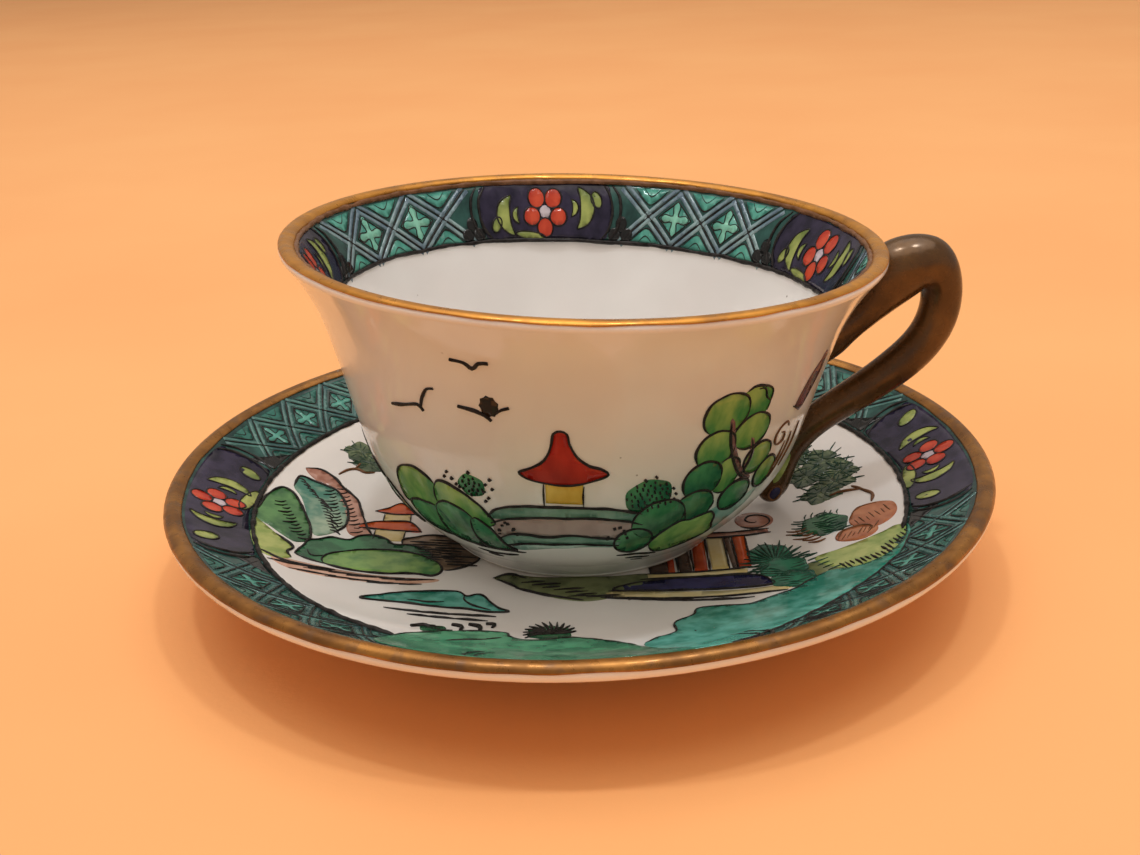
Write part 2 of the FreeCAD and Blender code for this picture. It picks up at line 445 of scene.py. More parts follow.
def trellis(name, body, chart, start, end, low, high, count, colours):
    """Double straps crossing in diamonds from low to high; a leaf cross on turquoise in each diamond."""
    cell_colour, strap_colour, leaf_colour = colours
    pitch = (end - start) / count
    half = (high - low) / 2
    middle = (low + high) / 2
    wing = 0.5 * cell_share * pitch
    straps = []
    strap_lines = []
    for k in range(-1, count + 1):
        left = start + pitch * k
        for foot, head in ((left, left + pitch), (left + pitch, left)):
            slope = (high - low) / (head - foot)
            sides = sorted(min(max(x, start), end) for x in (foot, head))
            if sides[1] - sides[0] < shortest_strap:
                continue
            line = [Vector((x, low + slope * (x - foot))) for x in sides]
            run = line[1] - line[0]
            side = Vector((-run.y, run.x)).normalized()
            for offset in (-strap_offset, strap_offset):
                straps.append(strip(line[0] + side * offset, line[1] + side * offset, strap_width))
            strap_lines.append([tuple(p) for p in line])
    cells = []
    leaves = []
    chevrons = []
    diamonds = []
    for k in range(count):
        centre = start + pitch * (k + 0.5)
        for way in (1, -1):
            base = middle + way * (half - 0.10)
            tip = middle + way * (half - cell_share * half)
            cells.append(sharp([(centre - wing, base), (centre, tip), (centre + wing, base)]))
            for share in (0.45, 0.95):
                point = base + (tip - base) * share
                chevrons.append([(centre - share * wing, base), (centre, point),
                    (centre + share * wing, base)])
        if k > 0:
            corner = start + pitch * k
            diamond = sharp([(corner - wing, middle), (corner, middle + cell_share * half),
                             (corner + wing, middle), (corner, middle - cell_share * half)])
            cells.append(diamond)
            diamonds.append(diamond)
            leaves.append(cross_leaf((corner, middle), 0.24 * pitch))
    painted(name + "_cells", body, chart, cell_colour, cells, wash_lift, (0.5, 0.5), 0.7)
    painted(name + "_straps", body, chart, strap_colour, straps, second_lift)
    painted(name + "_leaves", body, chart, leaf_colour, leaves, third_lift, (0.5, 0.5), 0.7)
    penned(name + "_strap_lines", body, chart, pen_line, strap_lines, (), 0.075)
    penned(name + "_leaf_lines", body, chart, pen_line, chevrons, leaves + diamonds, 0.065)


def wobble(along, size, seed):
    """A hand's unevenness along an edge: it strays by up to about size, every few millimetres."""
    return size * noise.noise(Vector((along / 3.0, seed, 0.3)))


border_length = 2 * math.pi * border_radius


def border_edges(along):
    round_seed = 7 * math.cos(along / border_radius)
    across_seed = 7 * math.sin(along / border_radius)
    uneven = 0.18 * noise.noise(Vector((round_seed * 2, across_seed * 2, 1.5)))
    return border_inner + uneven, border_outer


banded("saucer_border_ground", "saucer", saucer_border, border_dark, border_length, border_edges,
    ground_lift, 7)


def flower(centre, size, petals=5, turn=20.0):
    """Petal outlines round a centre."""
    outlines = []
    for k in range(petals):
        angle = turn + 360 * k / petals
        way = math.radians(angle)
        at = (centre[0] + size * 0.60 * math.cos(way), centre[1] + size * 0.60 * math.sin(way))
        outlines.append(oval(at, 0.37 * size, 0.35 * size, angle))
    return outlines


def crescent(centre, size, turn):
    """A fat crescent leaf, bulging the way of turn."""
    outline = []
    for reach, angle in ((1.0, -80), (1.06, -40), (1.1, 0), (1.06, 40), (1.0, 80),
                         (0.60, 60), (0.34, 0), (0.60, -60)):
        way = math.radians(angle + turn)
        outline.append((centre[0] + size * reach * math.cos(way), centre[1] + size * reach * math.sin(way)))
    return outline


def flower_panel(name, body, chart, middle, half, low, high, upward=1):
    """A dark panel with bowed ends; in it a flower between crescent leaves, and three buds."""
    centre_v = (low + high) / 2
    tall = (high - low) / 2
    shoulder = 0.55 * tall
    bow = ((1.0, low), (0.25, centre_v - shoulder), (0.0, centre_v), (0.25, centre_v + shoulder), (1.0, high))
    left = [(middle - half + inward, v) for inward, v in bow]
    right = [(middle + half - inward, v) for inward, v in bow]
    panel = [left[0], (middle, low)] + right + [(middle, high)] + left[:0:-1]
    painted(name + "_ground", body, chart, panel_blue, [panel], wash_lift + 0.01, (0.5, 0.5))
    bloom = (middle, centre_v)
    size = 0.98 * tall
    petals = flower(bloom, size)
    heart = oval(bloom, 0.24 * size, points=6)
    curl = 0.76 * tall
    reach = size + 0.35 * curl
    crescents = []
    for way in (1, -1):
        at = (middle + way * reach, centre_v + 0.12 * upward * way * tall)
        crescents.append(crescent(at, curl, 90 - 90 * way))
        crescents.append(crescent((at[0] - 0.25 * way * curl, at[1]), 0.42 * curl, 90 - 90 * way))
    buds = [oval((middle - 0.76 * half, centre_v - 0.45 * upward * tall), 0.07 * half, 0.11 * half, 30),
            oval((middle + 0.76 * half, centre_v + 0.45 * upward * tall), 0.07 * half, 0.11 * half, -30),
            oval((middle - 0.24 * half, centre_v - 0.88 * upward * tall), 0.24 * half, 0.06 * half, 8)]
    painted(name + "_petals", body, chart, petal_red, petals, third_lift, (0.6, 0.6), 0.6)
    painted(name + "_flower_heart", body, chart, pale_lilac, [heart], top_lift, (0.5, 0.5), 0.6)
    painted(name + "_scrolls", body, chart, scroll_green, crescents + buds, second_lift, (0.5, 0.7), 0.6)
    penned(name + "_lines", body, chart, pen_line, [], petals + crescents + buds, 0.085)
    frame_lines = []
    for way in (1, -1):
        for gap in (0.05, 0.85):
            end = middle + way * (half + gap)
            frame_lines.append([(end - way * 1.0, low + 0.05), (end - way * 0.25, centre_v - shoulder),
                                (end, centre_v), (end - way * 0.25, centre_v + shoulder),
                                (end - way * 1.0, high - 0.05)])
    penned(name + "_end_lines", body, chart, pen_line, frame_lines, (), 0.15)


for number, angle in enumerate(panel_angles):
    middle = math.radians(angle) * border_radius
    following = panel_angles[(number + 1) % 4] + (360 if number == 3 else 0)
    end = math.radians(following) * border_radius - panel_half - panel_gap
    flower_panel(f"saucer_panel_{number + 1}", "saucer", saucer_border, middle, panel_half,
                 border_inner + 0.35, border_gilt_edge)
    trellis(f"saucer_trellis_{number + 1}", "saucer", saucer_border, middle + panel_half + panel_gap,
            end, border_inner + 0.2, border_gilt_edge, round((end - middle - panel_half) / trellis_pitch),
            saucer_trellis)

# black corners where the panels meet the trellis
corners = []
for angle in panel_angles:
    for way in (1, -1):
        edge = math.radians(angle) * border_radius + way * (panel_half + 0.3)
        corners.append(sharp([(edge, border_inner + 0.3), (edge + way * 3.6, border_inner + 0.3),
                              (edge - way * 0.1, border_inner + 2.4)]))
black_enamel = enamel("black enamel", (0.016, 0.016, 0.016), (0.006, 0.006, 0.006), 0.3)
painted("saucer_border_corners", "saucer", saucer_border, black_enamel, corners, top_lift, (0.5, 0.5), 0.7)

# the line stops where the green banks of the foreground run out over the border
edge_arc = [(math.radians(a) * border_radius, border_inner) for a in range(-22, 245, 6)]
penned("saucer_border_edge_line", "saucer", saucer_border, pen_line, [edge_arc], (), 0.24)


# ---------------------------------------------------------------- saucer landscape
# A lake scene painted by hand in the well and fired on: hills, a small tower, islands,
# a pavilion and pines, in washes of enamel with black pen outlines and hatching.

green_wash = enamel("green enamel wash", (0.27, 0.46, 0.13), (0.030, 0.17, 0.060), 0.35)
dark_green = enamel("dark green enamel", (0.055, 0.23, 0.10), (0.012, 0.070, 0.035), 0.4)
yellow_green = enamel("yellow green wash", (0.48, 0.54, 0.17), (0.22, 0.34, 0.07), 0.4)
turquoise_wash = enamel("turquoise wash", (0.14, 0.50, 0.42), (0.012, 0.20, 0.14), 0.4)
rose_brown = enamel("rose brown wash", (0.60, 0.33, 0.25), (0.36, 0.15, 0.10), 0.4)
orange_brown = enamel("orange brown wash", (0.60, 0.24, 0.11), (0.40, 0.12, 0.05), 0.4)
orange_red = enamel("orange red enamel", (0.72, 0.13, 0.028), (0.46, 0.045, 0.010), 0.3)
cream_yellow = enamel("cream yellow enamel", (0.80, 0.70, 0.42), (0.70, 0.54, 0.20), 0.3)
dark_brown = enamel("dark brown enamel", (0.17, 0.10, 0.07), (0.05, 0.028, 0.02), 0.4)
platform_blue = enamel("deep blue enamel", (0.04, 0.04, 0.14), (0.014, 0.012, 0.05), 0.4)
olive = enamel("olive enamel", (0.22, 0.25, 0.11), (0.07, 0.09, 0.04), 0.4)
hill_green = enamel("hill green wash", (0.13, 0.31, 0.11), (0.025, 0.11, 0.045), 0.35)
hill_blue = enamel("grey turquoise wash", (0.42, 0.54, 0.40), (0.07, 0.24, 0.18), 0.35)
bank_green = enamel("bank green wash", (0.10, 0.38, 0.21), (0.014, 0.13, 0.070), 0.4)
earth_brown = enamel("earth brown wash", (0.36, 0.25, 0.17), (0.13, 0.085, 0.055), 0.5)
fan_green = enamel("fan tree green", (0.05, 0.26, 0.16), (0.010, 0.075, 0.050), 0.4)
pine_grey = enamel("grey green enamel", (0.19, 0.24, 0.13), (0.040, 0.070, 0.038), 0.5)


def saucer_wash(name, finish, outlines, *how):
    painted("saucer_" + name, "saucer", saucer_top, finish, outlines, *how)


def saucer_pen(name, ink, strokes, *how):
    penned("saucer_" + name, "saucer", saucer_top, ink, strokes, *how)


yellow_hill = [(-26.5, -4.3), (-25.9, -4.5), (-24.4, -6), (-22.8, -7.7), (-23, -8.9), (-22.5, -9.8),
    (-23.4, -10.6), (-24.8, -10.2), (-26, -7.7)]
east_hill = [(18.1, -11), (20.2, -10.2), (23.5, -9.3), (24.8, -8.9), (25.2, -10.2), (23.5, -14.3),
    (21.4, -14.8), (19.3, -13.9)]
green_hill = [(-26.6, -2.3), (-26.5, 0.3), (-25.7, 2.5), (-24.6, 2.1), (-23.8, 0.7), (-23.1, -1),
    (-22.3, -3.1), (-21.9, -5.6), (-22.8, -6.6), (-23.9, -5.9), (-25.2, -4.8), (-26.4, -4.0)]
blue_hill = [(-24.8, 3.4), (-24.6, 5.3), (-23.2, 5), (-21.5, 4.4), (-20.7, 3.2), (-19.8, 0.7),
    (-19.6, -1.8), (-20.3, -3.5), (-21.6, -4.6), (-22.4, -2.8), (-23.2, -0.2), (-23.9, 1.8)]
rose_rock = [(-24.4, 6.9), (-23.2, 7.3), (-21.9, 6.5), (-20.7, 4.8), (-19.4, 3.2), (-18.6, 0.7),
    (-18, -1.4), (-17.3, -3.1), (-18.6, -3.7), (-19.4, -2.7), (-19.8, -0.2), (-20.7, 2.3), (-21.5, 4.4),
    (-23.2, 5.3)]
saucer_wash("yellow_hills", yellow_green, [yellow_hill, east_hill], wash_lift, (0.4, 0.4))
saucer_wash("green_hill", hill_green, [green_hill], wash_lift, (0.1, 0.6))
saucer_wash("blue_hill", hill_blue, [blue_hill], wash_lift, (0.9, 0.2))
saucer_wash("rose_rock", rose_brown, [rose_rock], wash_lift, (0.6, 0.4))
saucer_pen("hill_outlines", pen_line, [green_hill[:8] + [(-22.8, -5.8)], blue_hill[:8], rose_rock[:8],
    yellow_hill[2:6], [(-24.8, -9.9), (-22.4, -10.9), (-19, -10.7)]])
saucer_pen("hill_hatching", pen_line, hatch((-24.7, 4.9), (-21.9, 1.0), 10, (0.75, -0.55), 0.2)
    + hatch((-22.3, 1.6), (-20.7, -3.2), 10, (0.8, -0.5), 0.2)
    + hatch((-21.5, 4.3), (-19.8, -2.0), 12, (-0.75, -0.5), 0.2)
    + hatch((-24.9, 0.4), (-22.4, -4.8), 11, (-0.8, -0.55), 0.2)
    + hatch((-20.6, 5.0), (-18.1, -2.6), 12, (-0.75, -0.45), 0.2)
    + hatch((22.9, -12.2), (25.0, -10.4), 7, (0.2, -1.3))
    + hatch((19.6, -13.2), (23.4, -13.2), 11, (0.25, -1.3)), (), 0.15)

# the little tower behind the first island
saucer_wash("tower_roofs", orange_red, [[(-17.4, 1.5), (-16.7, 2.1), (-15.6, 3.1), (-14.8, 2.3),
    (-14.1, 1.1), (-15.6, 0.9)], [(-18.5, -1.8), (-17.3, -0.7), (-15.8, -0.4), (-14.3, -0.6), (-13.3, -2.4),
    (-15.8, -2.0)]])
saucer_wash("tower_walls", cream_yellow, [strip((-15.55, 0.95), (-15.55, -0.6), 2.2),
    strip((-15.85, -2.1), (-15.85, -4.1), 2.5)])
saucer_pen("tower_lines", pen_line, [[(-17.6, 1.4), (-16.6, 2.1), (-15.6, 3.1), (-14.8, 2.3), (-13.9, 1.0)],
    [(-17.5, 1.4), (-15.7, 0.9), (-14.0, 1.0)], [(-16.7, 0.9), (-16.7, -0.4)],
    [(-14.5, 0.9), (-14.4, -0.5)], [(-18.9, -1.7), (-17.4, -0.7), (-15.8, -0.4), (-14.3, -0.6),
    (-13.2, -2.5)], [(-18.6, -1.9), (-15.9, -2.1), (-13.2, -2.4)], [(-17.1, -2.1), (-17.1, -3.9)],
    [(-14.6, -2.2), (-14.6, -4.0)]], (), 0.085)

# the first island and the rocks beyond it
island_back = [(-22.0, -9.2), (-22.3, -8), (-22.1, -7), (-22.0, -5.9), (-21.2, -5.3), (-20.3, -4.5),
    (-19.0, -4.6), (-18.2, -3.6), (-17.0, -3.3), (-15.9, -3.9), (-15.2, -4.8), (-13.8, -4.9), (-12.4, -5.9),
    (-11.9, -7.4), (-13, -9.5), (-18, -10)]
island_front = [(-20.1, -9.6), (-20.2, -8.1), (-19, -6.9), (-17.3, -6.1), (-15.3, -5.9), (-13.2, -6.5),
    (-11.5, -7.9), (-10.9, -9.3), (-11.5, -10.3), (-13.2, -10), (-15.7, -10.3), (-18.2, -10.2)]
brown_rocks = [(-14.6, -4.6), (-13.6, -3.4), (-11.9, -3.2), (-9.6, -4.2), (-8.2, -6.0), (-8.4, -8.2),
    (-11.2, -9.2)]
saucer_wash("brown_rocks", earth_brown, [brown_rocks], wash_lift, (0.2, 0.9))
saucer_wash("island_back", dark_green, [island_back], wash_lift + 0.012, (0.3, 0.7))
saucer_wash("island_front", green_wash, [island_front], wash_lift + 0.024, (0.5, 0.25))
saucer_pen("island_outlines", pen_line, showing([brown_rocks, island_back, island_front])
    + [[(-20.1, -8.2), (-21.2, -8.6), (-21.7, -7.6)]] + hatch((-14.0, -4.2), (-12.4, -7.4), 8, (2.0, -0.3))
    + hatch((-12.4, -4.0), (-10.6, -8.4), 10, (2.2, -0.35)), (), 0.12)
shore = hatch((-21.4, -10.9), (-11.4, -11.0), 10, (-2.6, -0.35))
shore += hatch((-19.8, -11.8), (-12.2, -11.9), 8, (-2.4, -0.3))
saucer_pen("shore_hatching", pen_line, shore, (), 0.075)
shore_pink = enamel("shore pink wash", (0.80, 0.52, 0.40), (0.58, 0.30, 0.20), 0.4)
saucer_wash("shore_tint", shore_pink, [[(-23.6, -10.4), (-21, -10.3), (-16, -10.7), (-11.2, -10.9),
    (-12, -11.6), (-16, -12.1), (-21.5, -12.2), (-23.4, -11.4)]], 0.025, (0.5, 0.1))

# the turquoise islet, and the green front bank that runs down over the border
islet = [(-16.3, -15.6), (-14.8, -14.3), (-13.2, -13.5), (-11.5, -13.1), (-9.4, -13.1), (-8.6, -13.9),
    (-7.6, -13.6), (-6.7, -15.0), (-6.1, -16), (-5.3, -16.6), (-6.9, -16.7), (-8.6, -16.2), (-10.7, -16),
    (-13.2, -15.6)]
saucer_wash("islet", turquoise_wash, [islet], wash_lift, (0.75, 0.2))
saucer_pen("islet_lines", pen_line, [[(-8.8, -13.6), (-8.7, -14.6), (-7.9, -15.6), (-6.6, -16.4)],
    [(-13.0, -14.9), (-11.4, -15.2), (-10.2, -15.0)], [(-8.6, -13.9), (-7.6, -13.6), (-6.7, -15.0)]]
    + hatch((-14.4, -17.0), (-8.6, -17.3), 9, (2.2, -0.25))
    + hatch((-12.6, -17.9), (-9.2, -18.2), 4, (2.0, -0.2)), [islet], 0.11)
bank_lift = 0.15
front_bank = [(-12.9, -24.6), (-12.2, -23.3), (-11.5, -22.6), (-9.4, -21.4), (-7.3, -21), (-5.3, -21.1),
    (-5, -22), (-4, -22.7), (-2.3, -22.7), (-0.7, -22.3), (1, -22.9), (2.7, -24.1), (3.7, -25.2),
    (5.6, -27.6), (7.6, -30.2), (4.0, -31.7), (0, -32.0), (-5, -31.6), (-9.5, -30.4), (-12.5, -28.6),
    (-13.5, -26.6)]
saucer_wash("front_bank", bank_green, [front_bank], bank_lift, (0.35, 1.1))
saucer_pen("front_bank_lines", pen_line, [front_bank[:12] + [(3.9, -25.4)],
    [(-9.6, -24.2), (-8, -23.4), (-6.6, -23.0), (-5.0, -22.1)]], (), 0.16)

# the wide turquoise bank on the east shore
east_bank = [(4.3, -25.0), (5.2, -23.5), (6.6, -22.3), (6.7, -20.2), (8.1, -18.9), (8.5, -17.7),
    (10.2, -17.7), (12.3, -18.1), (13.9, -17.3), (15.6, -16.6), (17.0, -15.4), (18.6, -14.3), (20.6, -14.9),
    (22.8, -14.3), (24.6, -12.2), (25.4, -9.6), (25.2, -11.4), (23.8, -14.6), (21.2, -18.0), (17.4, -22.0),
    (13.6, -25.8), (10.8, -28.8), (8.6, -30.3), (6.6, -30.4), (5.0, -28.0)]
saucer_wash("east_bank", turquoise_wash, [east_bank], bank_lift - 0.03, (0.3, 0.1))
saucer_pen("east_bank_lines", pen_line, [east_bank[:12],
    [(9.2, -30.0), (10.8, -28.8), (13.6, -25.8), (17.4, -22.0), (21.2, -18.0), (23.8, -14.6),
    (25.2, -11.4)]] + hatch((7.0, -22.2), (10.8, -21.9), 7, (0.25, -1.0), 0.15)
    + hatch((13.4, -20.9), (14.8, -20.5), 3, (0.2, -0.8)), (), 0.12)

# small plants at the water's edge
feather = []
for number in range(13):
    way = math.radians(200 - 200 * number / 12)
    feather.append([(-2.2, -21.2), (-2.2 + 1.1 * math.cos(way), -21.0 + 1.2 * math.sin(way)),
                    (-2.2 + 1.9 * math.cos(way + 0.15), -20.9 + 2.3 * math.sin(way + 0.15))])
saucer_wash("feather_bush", dark_green, [oval((-2.2, -20.9), 1.6, 1.5, 0, 12, 0.08),
    oval((-10.4, -20.7), 1.0, 0.75, 10, 8, 0.08)])
saucer_pen("feather_strokes", pen_line, feather + hatch((-11.2, -20.2), (-9.8, -21.4), 5, (0.9, 0.2)), (),
    0.14)
saucer_pen("front_dabs", pen_line, hatch((-9.2, -19.6), (-6.8, -19.1), 3, (0.7, -1.1), 0.35)
    + [[(-12.0, -20.6), (-11.2, -20.2), (-10.6, -20.4)]], (), 0.22, 0.7)

# the pavilion with its platform, and the olive islet under the cup
saucer_wash("pavilion_dark", dark_brown, [strip((5.9, -5.0), (6.2, -11.0), 1.5),
    strip((8.0, -5.0), (8.2, -11.0), 1.0), strip((11.9, -5.2), (12.1, -10.9), 0.5)])
saucer_wash("pavilion_columns", orange_red, [strip((9.5, -5.0), (9.4, -10.8), 1.0),
    strip((12.9, -4.9), (12.8, -10.6), 1.0), strip((7.1, -5.4), (7.1, -10.9), 0.5)])
saucer_wash("pavilion_screens", cream_yellow, [strip((10.9, -5.2), (10.9, -10.8), 1.3),
    strip((5.2, -11.5), (12.9, -11.3), 0.7), [(2.3, -13.7), (7, -14.1), (12, -14.8), (15.3, -15.1),
    (15.1, -16.1), (10, -15.6), (5, -15.0), (2.4, -14.5)]], wash_lift)
saucer_wash("pavilion_roof", rose_brown, [strip((9.6, -4.9), (15.4, -4.4), 0.75),
    oval((14.5, -2.3), 1.6, 1.5, 0, 10)])
platform = [(4.2, -12.4), (8, -11.9), (13, -12.2), (14.4, -13.8), (14.2, -14.6), (10.5, -14.3),
    (7.7, -13.9), (2.6, -13.5)]
saucer_wash("pavilion_platform", platform_blue, [platform])
spiral = [(14.5 + (1.7 - 0.11 * k) * math.cos(0.6 * k - 2.4), -2.3
    + (1.6 - 0.10 * k) * math.sin(0.6 * k - 2.4)) for k in range(14)]
saucer_pen("pavilion_lines", pen_line, [[(5.2, -5), (5.4, -11)], [(7.5, -5.2), (7.6, -11)],
    [(8.8, -5.2), (8.8, -11)], [(10.1, -5.1), (10.1, -10.9)], [(11.6, -5.1), (11.6, -10.9)],
    [(12.3, -5), (12.3, -10.8)], [(13.4, -5), (13.3, -10.4)], [(5.0, -11.1), (9, -11.0), (12.9, -10.8)],
    [(4.6, -11.9), (9, -11.8), (13.2, -11.9)], [(9.4, -5.3), (12.5, -5.1), (15.6, -4.7)],
    [(9.4, -4.5), (12.5, -4.3), (15.5, -4.0)], [(2.1, -13.6), (8, -14.0), (14.6, -14.7)],
    [(2.3, -14.6), (8, -15.4), (15.3, -16.2)], spiral], [platform], 0.095)
water = hatch((1.5, -14.6), (9.5, -16.2), 9, (3.0, -0.35))
water += hatch((-1.0, -14.2), (1.8, -14.5), 3, (2.2, 0.05))
saucer_pen("pavilion_water", pen_line, water, (), 0.09)
saucer_wash("olive_islet", olive, [[(-6.7, -10.9), (-5.6, -10.3), (-3, -11), (2, -11.2), (5.2, -11),
    (5.4, -12.3), (3, -13.6), (2.0, -14.7), (0, -15), (-2.6, -14.0), (-5.5, -11.9)]], wash_lift, (0.5, 0.2))
saucer_pen("olive_islet_lines", pen_line, [[(-6.8, -10.9), (-5.6, -10.4), (-4.2, -11.1)],
    [(-6.6, -11.0), (-5.2, -12.2), (-4.6, -12.8)], [(-5.0, -12.6), (-2.6, -13.9), (0.2, -14.9)]]
    + hatch((-4.6, -11.8), (0.5, -14.4), 7, (1.9, 0.1)), (), 0.12)

# trees and rocks on the east side
fan_tree = [oval((14.9, -8.9), 1.7, 1.9, 10, 12, 0.06), oval((15.6, -11.6), 1.9, 1.9, 0, 12, 0.06),
    oval((16.0, -14.2), 1.7, 1.7, 0, 12, 0.06)]
saucer_wash("fan_tree", fan_green, fan_tree, third_lift, (0.5, 0.5))
fan_strokes = []
for number in range(17):
    way = math.radians(215 - 13 * number)
    start = Vector((15.2, -10.4))
    reach = 1 + 0.12 * math.sin(number * scatter_turn)
    fan_strokes.append([tuple(start + Vector((0.5 * math.cos(way), 0.7 * math.sin(way)))),
                        tuple(start + reach * Vector((1.5 * math.cos(way), 2.2 * math.sin(way)))),
                        tuple(start + reach * Vector((2.5 * math.cos(way), 3.7 * math.sin(way))))])
saucer_pen("fan_tree_lines", dark_green_line, fan_strokes
    + hatch((14.0, -11.6), (15.4, -15.8), 9, (1.3, -0.5), 0.1)
    + hatch((17.4, -11.0), (17.4, -15.6), 9, (-1.1, -0.4), 0.1)
    + hatch((13.6, -10.4), (14.6, -12.6), 5, (-1.2, 0.3))
    + hatch((17.0, -9.8), (18.6, -14.0), 7, (1.0, 0.4)), (), 0.12)
saucer_wash("fan_tree_ground", olive, [[(17.2, -12.0), (18.4, -11.6), (19.6, -13.2), (19.4, -14.8),
    (17.4, -15.6), (16.8, -14.0)]], 0.03, (0.5, 0.5))
bush = oval((19.9, -4.9), 1.9, 2.0, -15, 12, 0.06)
saucer_wash("east_bush", dark_green, [bush])
saucer_pen("east_bush_lines", brown_line, hatch((18.4, -5.0), (19.5, -7.6), 6, (-1.6, -0.1), 0.2), (), 0.12)
saucer_pen("east_bush_needles", dark_green_line, hatch((18.6, -3.6), (18.4, -6.2), 7, (-1.0, 0.2), 0.1)
    + hatch((19.4, -3.0), (20.6, -6.6), 9, (1.1, 0.3), 0.1)
    + hatch((18.6, -3.4), (21.2, -3.4), 6, (0.2, 0.9), 0.1)
    + hatch((19.0, -4.2), (19.6, -6.4), 7, (1.2, -0.2)), (), 0.11)
rocks = [oval((21.9, -8.0), 1.7, 1.4, 0, 9, 0.03), oval((23.7, -5.4), 1.9, 2.3, -10, 9, 0.03)]
saucer_wash("east_rocks", orange_brown, rocks, wash_lift + 0.006, (0.6, 0.8))
saucer_pen("east_rock_lines", brown_line, [[(20.3, -8.6), (21.0, -7.0), (22.4, -6.8), (23.2, -7.6),
    (22.6, -8.6)], [(22.0, -4.8), (22.8, -3.4), (24.4, -3.4)]]
    + hatch((20.6, -8.6), (23.2, -8.0), 7, (0.5, 0.9)) + hatch((22.4, -6.6), (25.0, -5.6), 7, (-0.2, 1.1)),
    (), 0.1)


def pine_pads(pads):
    """Needle pads of a pine, each a handful of small brush dabs, from centre and half sizes."""
    dabs = []
    for x, y, across, up in pads:
        for number in range(8):
            way = number * scatter_turn
            reach = math.sqrt((number + 0.4) / 8)
            at = (x + 0.85 * across * reach * math.cos(way), y + 0.85 * up * reach * math.sin(way))
            dabs.append(oval(at, 0.85, 0.70, 40 * number, 8, 0.10))
    return dabs


east_pads = [(19.6, 8.6, 1.5, 1.8), (21.7, 6.6, 1.7, 2.0), (19.9, 4.6, 1.5, 1.5), (22.0, 2.6, 1.6, 1.6),
    (20.6, 0.9, 1.6, 1.3), (22.9, 4.2, 1.1, 1.6)]
west_pads = [(-20.2, 11.8, 1.2, 1.1), (-19.0, 9.9, 1.4, 0.8), (-17.7, 11.2, 1.0, 0.8)]
saucer_wash("pine_pads", pine_grey, pine_pads(east_pads + west_pads), wash_lift, (0.5, 1.0))
needles = []
for x, y, across, up in east_pads + west_pads:
    for number in range(14):
        way = math.radians(-60 + 23 * number)
        inner = 0.25 + 0.3 * (number % 3)
        needles.append([(x + inner * across * math.cos(way), y + inner * up * math.sin(way)),
            (x + (inner + 0.75) * across * math.cos(way), y + (inner + 0.75) * up * math.sin(way))])
saucer_pen("pine_needles", dark_green_line, needles, (), 0.10)
saucer_pen("pine_trunks", brown_line, [[(23.2, 0.9), (23.9, -0.4), (24.4, -1.6), (24.1, -2.9)],
    [(21.2, 0.2), (22.6, 0.3), (23.7, -0.1)], [(-21.6, 7.2), (-20.9, 8.3), (-20.2, 8.7), (-19.4, 8.3),
    (-18.6, 8.6)], [(-20.4, 8.6), (-20.0, 9.8)]], (), 0.17)


# ---------------------------------------------------------------- cup bowl
# A thin thrown porcelain bowl on a small foot ring, with a flared lip; it slumped
# a little in the kiln, so all above the belly leans towards the handle.

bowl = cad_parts["cup_bowl"]
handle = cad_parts["cup_handle"]
cup_foot_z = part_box("cup_bowl")[0].z / mm
cup_offset = 0.3
cup_height = 24.3
cup_crease = 1.7
cup_belly = 9.2
bowl_lean = math.radians(3.1)
lean_pivot = 9.0
outside_radius = 19.0
inside_radius = 21.0
clear_of_bowl = 40
cup_bare_below = 0.2

bowl_surface = glaze_surface(bowl)


def leaning(height):
    """The frame of the bowl's level slice at a height above the cup's foot."""
    share = min(max((height - cup_crease) / (cup_belly - cup_crease), 0), 1)
    turn = Matrix.Rotation(bowl_lean * share * share * (3 - 2 * share), 3, "Y")
    pivot = Vector((cup_offset, 0, cup_foot_z + lean_pivot))
    return pivot + turn @ Vector((0, 0, height - lean_pivot)), turn


def cup_outside(along, height):
    """along is millimetres round the bowl from the front towards the handle."""
    centre, turn = leaning(height)
    angle = along / outside_radius
    way = turn @ Vector((math.sin(angle), -math.cos(angle), 0))
    return on_glaze(bowl_surface, centre + way * clear_of_bowl, -way)


def cup_inside(along, depth):
    """along is millimetres round the inside from the back towards the handle, depth from the lip."""
    centre, turn = leaning(cup_height - depth)
    angle = along / inside_radius
    way = turn @ Vector((math.sin(angle), math.cos(angle), 0))
    return on_glaze(bowl_surface, centre, way)


refinish(bowl, glazed_porcelain("glazed porcelain, cup", cup_foot_z + cup_bare_below))


# ---------------------------------------------------------------- cup outside scene
# Hand-painted enamel, fired on: a footbridge with a red-roofed summer house between
# round bushes and a tree, with birds above. The far side repeats bushes and birds.

leaf_green = enamel("leaf green enamel", (0.36, 0.53, 0.14), (0.06, 0.25, 0.06), 0.35)
bush_green = enamel("bush green enamel", (0.08, 0.31, 0.12), (0.014, 0.11, 0.045), 0.4)
roof_red = enamel("roof red enamel", (0.52, 0.028, 0.014), (0.28, 0.009, 0.006), 0.3)
wall_yellow = enamel("wall yellow enamel", (0.85, 0.62, 0.12), (0.66, 0.40, 0.05), 0.3)
grey_green = enamel("grey green wash", (0.24, 0.40, 0.31), (0.07, 0.19, 0.14), 0.35)
mauve = enamel("mauve brown wash", (0.52, 0.37, 0.34), (0.36, 0.23, 0.21), 0.3)
pale_turquoise = enamel("pale turquoise wash", (0.58, 0.70, 0.64), (0.14, 0.42, 0.35), 0.3)
soot_brown = enamel("soot brown enamel", (0.045, 0.03, 0.022), (0.018, 0.013, 0.010), 0.3)
plum_brown = enamel("plum brown enamel", (0.26, 0.13, 0.12), (0.09, 0.04, 0.05), 0.4)


